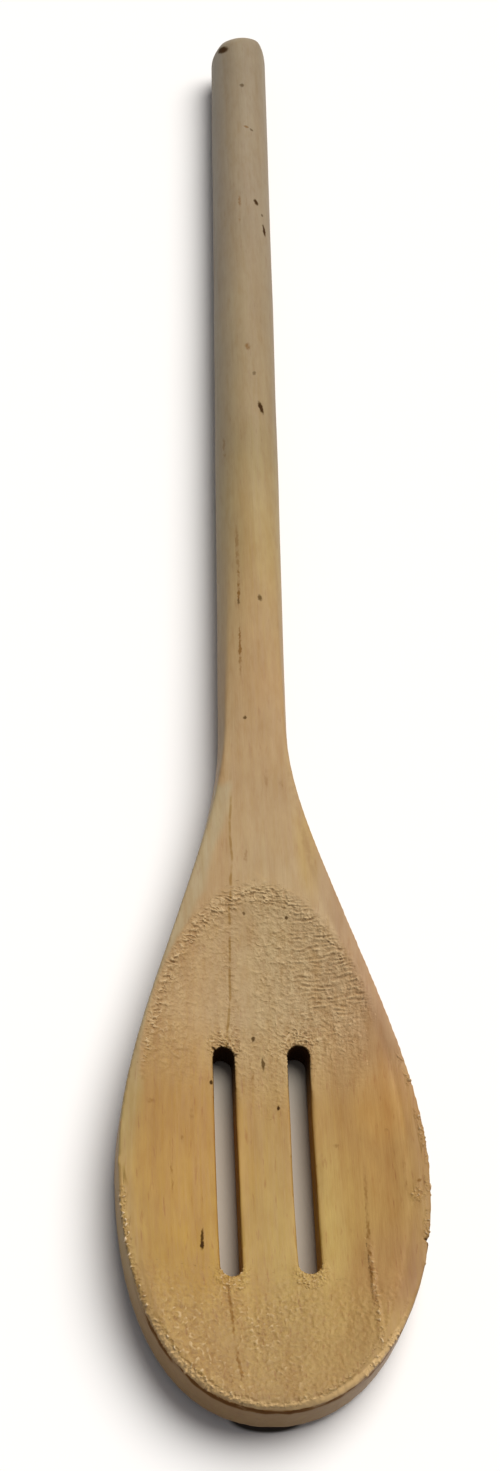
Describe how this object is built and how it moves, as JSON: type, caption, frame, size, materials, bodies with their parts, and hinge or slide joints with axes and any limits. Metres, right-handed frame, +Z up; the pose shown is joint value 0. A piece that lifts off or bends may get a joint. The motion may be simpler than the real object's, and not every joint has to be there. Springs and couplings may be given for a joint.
{
  "type": "slotted spoon",
  "caption": "Wooden slotted spoon: teardrop head with a shallow milled bowl and long round-ended drain slots, flowing into a plain round handle.",
  "frame": {"origin": "bottom centre of the bounding box, on the surface that the spoon lies on", "axes": "+Y along the spoon from the tip of the head to the butt of the handle, +X across the head, +Z up out of the bowl"},
  "size_m": [0.0538, 0.35, 0.0134],
  "materials": {
    "beech": "bare, used wood with raised grain in the bowl"
  },
  "bodies": {
    "root": {"slotted_spoon": "beech"}
  },
  "joints": []
}
